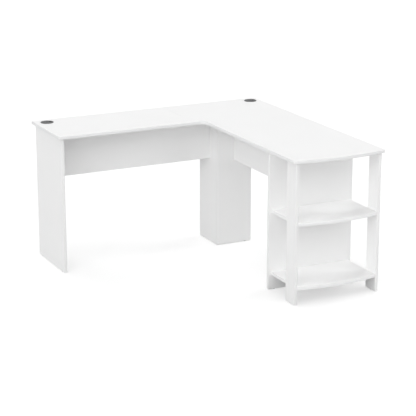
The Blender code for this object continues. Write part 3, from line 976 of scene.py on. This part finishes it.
steelHosts = {"bracket_left_modesty_1": "left_modesty_panel", "bracket_left_modesty_2": "left_modesty_panel",
              "bracket_right_modesty": "right_modesty_panel", "bracket_shelf_back": "shelf_back_panel"}
bracketNames = {"bracket_left_modesty_1": "leftModestyBracketOne",
                "bracket_left_modesty_2": "leftModestyBracketTwo",
                "bracket_right_modesty": "rightModestyBracket", "bracket_shelf_back": "shelfBackBracket"}
screwSpots = []
for node, name in bracketNames.items():
    screwSpots += bracket(name, node)
for node, name in (("seam_plate_back", "backSeamPlate"), ("seam_plate_front", "frontSeamPlate")):
    screwSpots += seamPlate(name, node)
populate("steelScrews", screwSpots, screwTree(), screw, "platedSteel", [])
print("steelwork made:", len(screwSpots), "screws")


# floor, light and camera

# each light comes from a direction and has a strength; spread is its width in degrees
studio = {
    "sky": 0.08,
    "overheadLight": {"from": (0, 0, 1), "spread": 75, "strength": 0.58},
    "leftLight": {"from": (-6, -0.5, 2.6), "spread": 50, "strength": 0.57},
    "lowLeftLight": {"from": (-1, -0.6, 0.25), "spread": 40, "strength": 0.66},
    "frontLeftLight": {"from": (-1, -1, 1.2), "spread": 40, "strength": 0.51},
    "lowFrontLight": {"from": (-0.4, -1, 0.25), "spread": 40, "strength": 0.50},
    "frontLight": {"from": (0.5, -1, 0.8), "spread": 40, "strength": 0.64},
    "rightLight": {"from": (1, 0, 0.5), "spread": 40, "strength": 1.42},
    "backRightLight": {"from": (1, 0.6, 0.6), "spread": 40, "strength": 0.15},
    "backLight": {"from": (-0.3, 1, 1), "spread": 50, "strength": 0.91},
}
floorPaint = {"dark": colour(0.592, 0.592, 0.592), "pale": colour(0.608, 0.608, 0.608), "glow": 0.47,
              "reach": 30}


def stageFloor():
    bm = bmesh.new()
    bmesh.ops.create_grid(bm, x_segments=1, y_segments=1, size=floorPaint["reach"])
    floor = newObject("studioFloor", bm)
    material, graph = newMaterial("paleFloor")
    tone = noise(graph, objectCoords(graph), 0.7, 2.0, 0.5)
    paint = graph.mixColour(tone, floorPaint["dark"], floorPaint["pale"])
    matt = graph.node("ShaderNodeBsdfDiffuse", {}, {"Color": paint})
    # only the camera sees the glow, so the floor looks white and still throws little light up at the desk
    seen = graph.node("ShaderNodeLightPath", {}, {}, out="Is Camera Ray")
    glow = graph.node("ShaderNodeEmission", {}, {"Strength": floorPaint["glow"] * seen})
    both = graph.node("ShaderNodeAddShader", {}, {0: matt, 1: glow})
    graph.node("ShaderNodeOutputMaterial", {}, {"Surface": both})
    floor.data.materials.append(material)


def studioSky():
    world = bpy.data.worlds.new("studioWorld")
    world.use_nodes = True
    world.node_tree.nodes.clear()
    graph = Graph(world.node_tree)
    seen = graph.node("ShaderNodeLightPath", {}, {}, out="Is Camera Ray")
    # full white to the camera, a faint fill on the desk
    strength = studio["sky"] + (1 - studio["sky"]) * seen
    sky = graph.node("ShaderNodeBackground", {}, {"Color": colour(1, 1, 1), "Strength": strength})
    graph.node("ShaderNodeOutputWorld", {}, {"Surface": sky})
    bpy.context.scene.world = world


def softSun(name, facts):
    data = bpy.data.lights.new(name, "SUN")
    data.energy, data.angle = facts["strength"], radians(facts["spread"])
    light = bpy.data.objects.new(name, data)
    light.rotation_euler = Vector(facts["from"]).to_track_quat("Z", "Y").to_euler()
    bpy.context.scene.collection.objects.link(light)


view = {"heading": 26.5229, "tilt": 16.2149, "lens": 131.65, "place": (-3.24517, -6.55945, 2.46882)}


def addCamera():
    data = bpy.data.cameras.new("deskCamera")
    data.lens, data.sensor_width = view["lens"], 36
    data.clip_end = 100
    camera = bpy.data.objects.new("deskCamera", data)
    camera.location = view["place"]
    camera.rotation_euler = (radians(90 - view["tilt"]), 0, radians(-view["heading"]))
    bpy.context.scene.collection.objects.link(camera)
    bpy.context.scene.camera = camera


stageFloor()
studioSky()
for name, facts in studio.items():
    if name.endswith("Light"):
        softSun(name, facts)
bpy.context.scene.view_settings.view_transform = "Standard"
addCamera()
print("studio and camera set")
